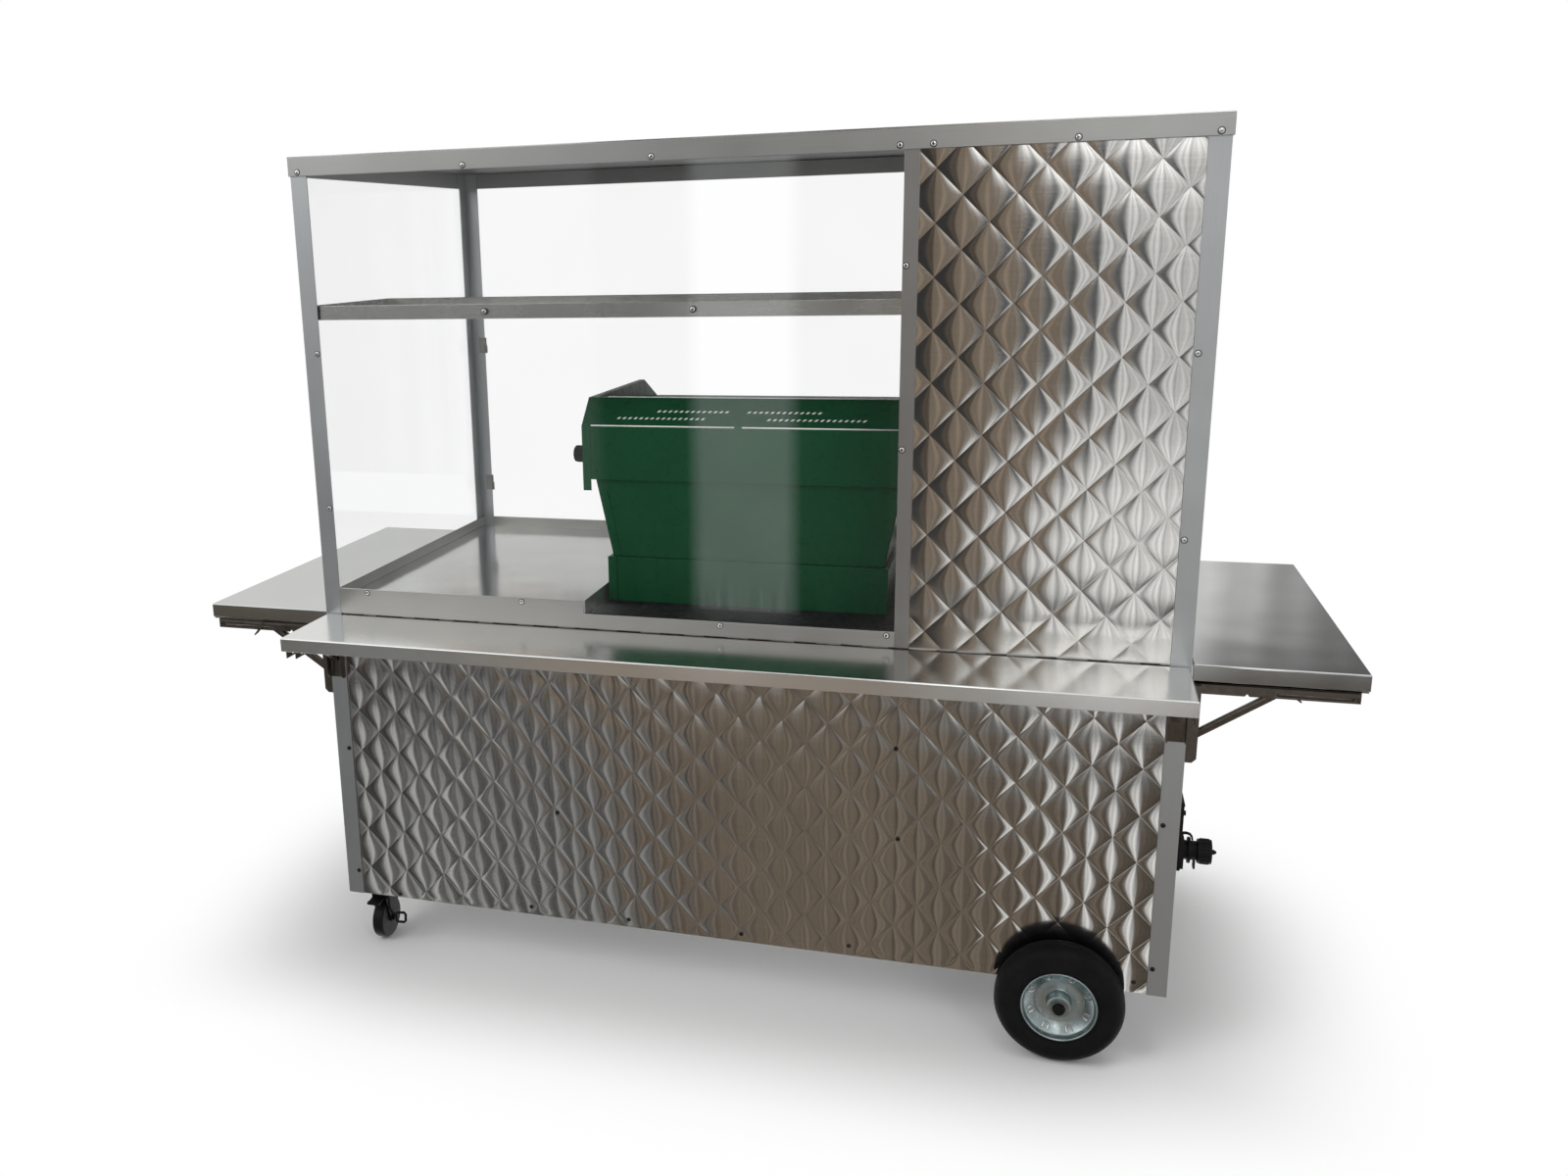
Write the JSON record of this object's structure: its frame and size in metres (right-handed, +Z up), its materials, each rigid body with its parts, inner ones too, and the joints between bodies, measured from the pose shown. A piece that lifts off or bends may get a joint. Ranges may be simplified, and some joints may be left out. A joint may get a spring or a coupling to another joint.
{
  "type": "coffee cart",
  "caption": "Stainless street coffee cart with quilted panels, roofed counter behind clear panes, folding shelves, wheels, braked casters and an espresso machine.",
  "frame": {"origin": "on the ground under the middle of the cart's overall outline, with the folding shelves up", "axes": "+X along the cart from the casters to the large wheels, +Y from the customers' side to the working side, +Z up"},
  "size_m": [2.439, 1.17, 1.829],
  "materials": {
    "quilted_steel": "quilted and brushed",
    "stainless": "brushed",
    "post_steel": "satin",
    "zinc": "zinc plated",
    "clear_pane": "clear",
    "mat_rubber": "matte",
    "tyre_rubber": "smooth",
    "caster_black": "satin",
    "black_plastic": "satin",
    "machine_green": "gloss",
    "chrome": "polished",
    "tank_plastic": "natural"
  },
  "bodies": {
    "cart": {"frame_tubes": "zinc", "floor_pan": "stainless", "posts": "post_steel", "front_panel": "quilted_steel", "upper_panel": "quilted_steel", "side_panels": "stainless", "rear_panel": "stainless", "roof_panel": "stainless", "fascia_trim": "stainless", "overhead_shelf": "stainless", "clear_panes": "clear_pane", "counter_top": "stainless", "counter_rails": "stainless", "machine_mat": "mat_rubber", "bracket_wall_legs": "zinc", "axle": "zinc", "axle_hangers": "zinc", "caster_plates": "zinc", "inlet_housing": "black_plastic", "hinge_leaves": "zinc", "water_tanks": "tank_plastic", "water_pump": "black_plastic", "panel_screws": "zinc", "machine_base": "machine_green", "machine_waist": "machine_green", "machine_housing": "machine_green", "machine_top": "machine_green", "group_heads": "chrome", "drip_tray": "stainless"},
    "front_shelf": {"front_shelf": "stainless", "front_shelf_legs": "zinc"},
    "front_struts": {"front_struts": "zinc"},
    "front_levers": {"front_levers": "zinc"},
    "left_shelf": {"left_shelf": "stainless", "left_shelf_legs": "zinc"},
    "left_struts": {"left_struts": "zinc"},
    "left_levers": {"left_levers": "zinc"},
    "right_shelf": {"right_shelf": "stainless", "right_shelf_legs": "zinc"},
    "right_struts": {"right_struts": "zinc"},
    "right_levers": {"right_levers": "zinc"},
    "front_wheel": {"front_tyre": "tyre_rubber", "front_rim": "zinc"},
    "front_caster_fork": {"front_caster_fork": "caster_black"},
    "front_caster_wheel": {"front_caster_wheel": "caster_black"},
    "front_caster_brake": {"front_caster_brake": "caster_black"},
    "rear_wheel": {"rear_tyre": "tyre_rubber", "rear_rim": "zinc"},
    "rear_caster_fork": {"rear_caster_fork": "caster_black"},
    "rear_caster_wheel": {"rear_caster_wheel": "caster_black"},
    "rear_caster_brake": {"rear_caster_brake": "caster_black"},
    "inlet_cap": {"inlet_cap": "black_plastic"},
    "left_door": {"left_door": "stainless"},
    "right_door": {"right_door": "stainless"},
    "left_portafilter": {"left_portafilter": "black_plastic"},
    "right_portafilter": {"right_portafilter": "black_plastic"},
    "left_steam_knob": {"left_steam_knob": "black_plastic"},
    "right_steam_knob": {"right_steam_knob": "black_plastic"},
    "left_steam_wand": {"left_steam_wand": "chrome"},
    "right_steam_wand": {"right_steam_wand": "chrome"}
  },
  "joints": [
    {"name": "front_shelf_fold", "type": "hinge", "parent": "cart", "child": "front_shelf", "pos_m": [0, -0.395, 0.794], "axis": [1, 0, 0], "range_deg": [0, 90]},
    {"name": "front_strut_turn", "type": "hinge", "parent": "cart", "child": "front_struts", "pos_m": [0, -0.395, 0.736], "axis": [1, 0, 0], "range_deg": [0, 129.1]},
    {"name": "front_lever_turn", "type": "hinge", "parent": "front_shelf", "child": "front_levers", "pos_m": [0, -0.491, 0.8], "axis": [-1, 0, 0], "range_deg": [0, 51]},
    {"name": "left_shelf_fold", "type": "hinge", "parent": "cart", "child": "left_shelf", "pos_m": [-0.9275, 0.0625, 0.79], "axis": [0, -1, 0], "range_deg": [0, 90]},
    {"name": "left_strut_turn", "type": "hinge", "parent": "cart", "child": "left_struts", "pos_m": [-0.9275, 0.0625, 0.695], "axis": [0, -1, 0], "range_deg": [0, 125.2]},
    {"name": "left_lever_turn", "type": "hinge", "parent": "left_shelf", "child": "left_levers", "pos_m": [-1.0895, 0.0625, 0.796], "axis": [0, 1, 0], "range_deg": [0, 51]},
    {"name": "right_shelf_fold", "type": "hinge", "parent": "cart", "child": "right_shelf", "pos_m": [0.9275, 0.0625, 0.79], "axis": [0, 1, 0], "range_deg": [0, 90]},
    {"name": "right_strut_turn", "type": "hinge", "parent": "cart", "child": "right_struts", "pos_m": [0.9275, 0.0625, 0.695], "axis": [0, 1, 0], "range_deg": [0, 125.2]},
    {"name": "right_lever_turn", "type": "hinge", "parent": "right_shelf", "child": "right_levers", "pos_m": [1.0895, 0.0625, 0.796], "axis": [0, -1, 0], "range_deg": [0, 51]},
    {"name": "front_wheel_spin", "type": "hinge", "parent": "cart", "child": "front_wheel", "pos_m": [0.7095, -0.419, 0.127], "axis": [0, 1, 0], "continuous": true},
    {"name": "rear_wheel_spin", "type": "hinge", "parent": "cart", "child": "rear_wheel", "pos_m": [0.7095, 0.544, 0.127], "axis": [0, 1, 0], "continuous": true},
    {"name": "front_caster_swivel", "type": "hinge", "parent": "cart", "child": "front_caster_fork", "pos_m": [-0.8595, -0.282, 0.1256], "axis": [0, 0, 1], "continuous": true},
    {"name": "front_caster_roll", "type": "hinge", "parent": "front_caster_fork", "child": "front_caster_wheel", "pos_m": [-0.8595, -0.312, 0.05], "axis": [1, 0, 0], "continuous": true},
    {"name": "front_caster_lock", "type": "hinge", "parent": "front_caster_fork", "child": "front_caster_brake", "pos_m": [-0.8595, -0.336, 0.1166], "axis": [1, 0, 0], "range_deg": [0, 12]},
    {"name": "rear_caster_swivel", "type": "hinge", "parent": "cart", "child": "rear_caster_fork", "pos_m": [-0.8595, 0.407, 0.1256], "axis": [0, 0, 1], "continuous": true},
    {"name": "rear_caster_roll", "type": "hinge", "parent": "rear_caster_fork", "child": "rear_caster_wheel", "pos_m": [-0.8595, 0.437, 0.05], "axis": [1, 0, 0], "continuous": true},
    {"name": "rear_caster_lock", "type": "hinge", "parent": "rear_caster_fork", "child": "rear_caster_brake", "pos_m": [-0.8595, 0.461, 0.1166], "axis": [-1, 0, 0], "range_deg": [0, 12]},
    {"name": "left_door_swing", "type": "hinge", "parent": "cart", "child": "left_door", "pos_m": [-0.9005, 0.5175, 0.546], "axis": [0, 0, 1], "range_deg": [0, 100]},
    {"name": "right_door_swing", "type": "hinge", "parent": "cart", "child": "right_door", "pos_m": [0.9005, 0.5175, 0.546], "axis": [0, 0, -1], "range_deg": [0, 100]},
    {"name": "inlet_cap_twist", "type": "hinge", "parent": "cart", "child": "inlet_cap", "pos_m": [0.9577, -0.306, 0.432], "axis": [1, 0, 0], "range_deg": [0, 90]},
    {"name": "left_portafilter_turn", "type": "hinge", "parent": "cart", "child": "left_portafilter", "pos_m": [-0.1215, 0.228, 1.0856], "axis": [0, 0, 1], "range_deg": [-45, 0]},
    {"name": "right_portafilter_turn", "type": "hinge", "parent": "cart", "child": "right_portafilter", "pos_m": [0.1665, 0.228, 1.0856], "axis": [0, 0, 1], "range_deg": [-45, 0]},
    {"name": "left_steam_knob_turn", "type": "hinge", "parent": "cart", "child": "left_steam_knob", "pos_m": [-0.3495, -0.167, 1.18], "axis": [-1, 0, 0], "range_deg": [0, 270]},
    {"name": "right_steam_knob_turn", "type": "hinge", "parent": "cart", "child": "right_steam_knob", "pos_m": [0.3945, -0.167, 1.18], "axis": [1, 0, 0], "range_deg": [0, 270]},
    {"name": "left_steam_wand_swivel", "type": "hinge", "parent": "cart", "child": "left_steam_wand", "pos_m": [-0.3025, 0.306, 1.1126], "axis": [0, 0, 1], "range_deg": [-40, 40]},
    {"name": "right_steam_wand_swivel", "type": "hinge", "parent": "cart", "child": "right_steam_wand", "pos_m": [0.3475, 0.306, 1.1126], "axis": [0, 0, 1], "range_deg": [-40, 40]}
  ],
  "couplings": [
    {"joint": "front_strut_turn", "follows": "front_shelf_fold", "ratio": 1.4232},
    {"joint": "front_lever_turn", "follows": "front_shelf_fold", "ratio": 0.55556},
    {"joint": "left_strut_turn", "follows": "left_shelf_fold", "ratio": 1.3796},
    {"joint": "left_lever_turn", "follows": "left_shelf_fold", "ratio": 0.55556},
    {"joint": "right_strut_turn", "follows": "right_shelf_fold", "ratio": 1.3796},
    {"joint": "right_lever_turn", "follows": "right_shelf_fold", "ratio": 0.55556}
  ]
}
